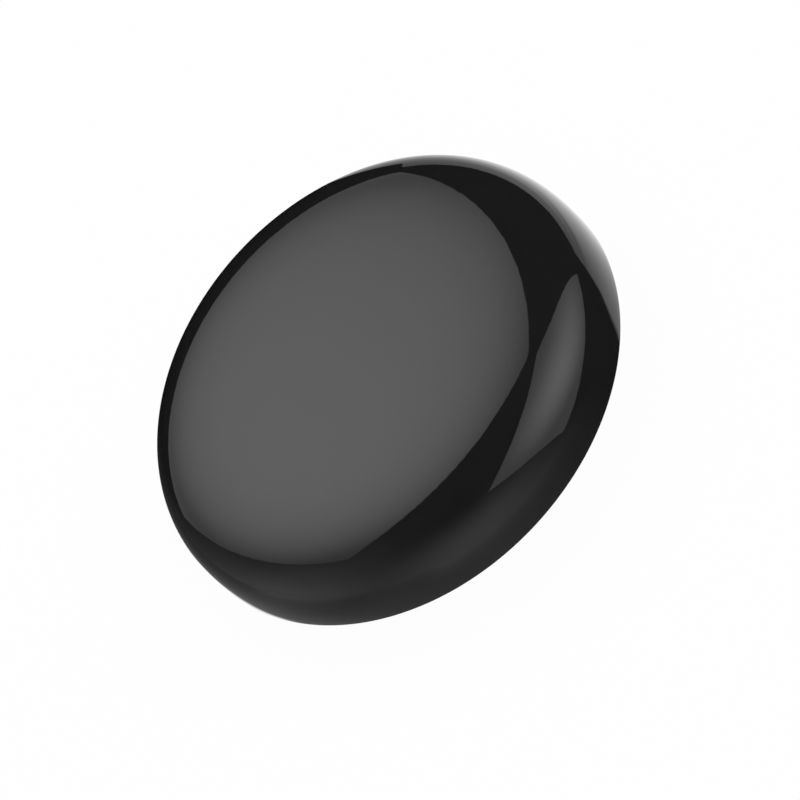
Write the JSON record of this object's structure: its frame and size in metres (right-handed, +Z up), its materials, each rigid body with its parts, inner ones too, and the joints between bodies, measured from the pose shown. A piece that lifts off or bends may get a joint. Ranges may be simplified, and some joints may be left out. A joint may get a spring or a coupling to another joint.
{
  "type": "smart ir remote hub",
  "caption": "Low round pebble-shaped infrared remote hub: gloss domed cover on a tapered base, with circuit board, outward-looking emitters, power socket and a sprung reset button inside.",
  "frame": {"origin": "on the surface that the part stands on, under the centre of the round case", "axes": "+Z up along the axis of the round case, +Y towards the back, where the power socket is, +X to the right seen from the front"},
  "size_m": [0.068, 0.068, 0.0163],
  "materials": {
    "cover": "high gloss black, passes infrared",
    "base": "fine matt black texture",
    "foot": "matt",
    "label": "blank film",
    "screws": "black zinc",
    "board": "green solder mask",
    "module_board": "dark blue solder mask",
    "plated_steel": "bright tin plate",
    "black_moulding": "matt",
    "white_moulding": "matt",
    "gold_contacts": "gold plate",
    "solder": "tinned",
    "button": "satin",
    "clear_plastic": "clear",
    "emitter_resin": "smoky clear resin",
    "receiver_resin": "dark resin",
    "can": "bright drawn",
    "ceramic": "fired ceramic",
    "resistor_film": "matt"
  },
  "bodies": {
    "case": {"top_cover": "cover", "base_cover": "base", "foot_ring": "foot", "blank_label": "label", "case_screws": "screws", "board_screws": "screws", "main_board": "board", "usb_shell": "plated_steel", "usb_tongue": "black_moulding", "usb_contacts": "gold_contacts", "switch_body": "black_moulding", "switch_plate": "plated_steel", "snap_dome": "plated_steel", "switch_terminals": "solder", "light_pipe": "clear_plastic", "status_led": "white_moulding", "ir_emitters": "emitter_resin", "ir_emitter_leads": "solder", "ir_receiver": "receiver_resin", "ir_receiver_leads": "solder", "wifi_board": "module_board", "wifi_shield": "plated_steel", "wifi_chip": "black_moulding", "wifi_crystal": "plated_steel", "wifi_antenna": "gold_contacts", "wifi_pads": "solder", "voltage_regulator": "black_moulding", "regulator_leads": "solder", "capacitor_can": "can", "capacitor_base": "black_moulding", "driver_transistors": "black_moulding", "transistor_leads": "solder", "ceramic_capacitors": "ceramic", "resistors": "resistor_film", "protection_diode": "black_moulding", "diode_leads": "solder"},
    "reset_button": {"reset_button_cap": "button", "switch_plunger": "black_moulding"}
  },
  "joints": [
    {"name": "reset_press", "type": "slide", "parent": "case", "child": "reset_button", "axis": [0, -1, 0], "range_m": [0, 0.0003], "stiffness_N_per_m": 4000, "springref_m": -0.0001}
  ]
}
